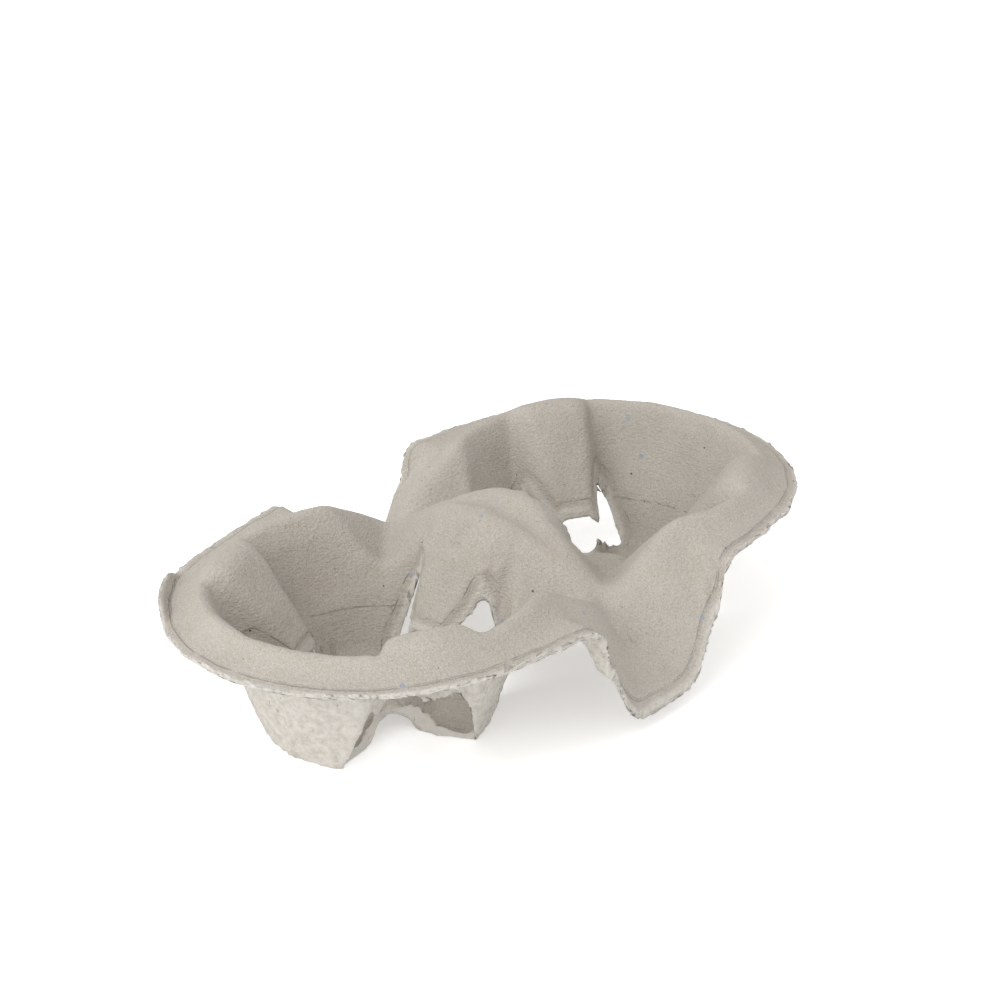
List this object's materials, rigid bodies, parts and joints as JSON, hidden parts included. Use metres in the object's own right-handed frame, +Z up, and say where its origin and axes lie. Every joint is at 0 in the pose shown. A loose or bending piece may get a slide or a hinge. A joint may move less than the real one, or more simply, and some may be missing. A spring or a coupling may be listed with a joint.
{
  "type": "cup carrier",
  "caption": "Moulded paper-pulp tray that carries drinks cups in star-floored wells with gripping fingers, a rolled rim, a saddle between the wells and a skirt on each side.",
  "frame": {"origin": "on the surface that the feet stand on, in the middle of the tray", "axes": "+X along the tray through both wells, +Y across it, +Z up"},
  "size_m": [0.205, 0.12, 0.0446],
  "materials": {
    "pulp": "matt, rough, unbleached grey paper pulp"
  },
  "bodies": {
    "root": {"cup_carrier": "pulp"}
  },
  "joints": []
}
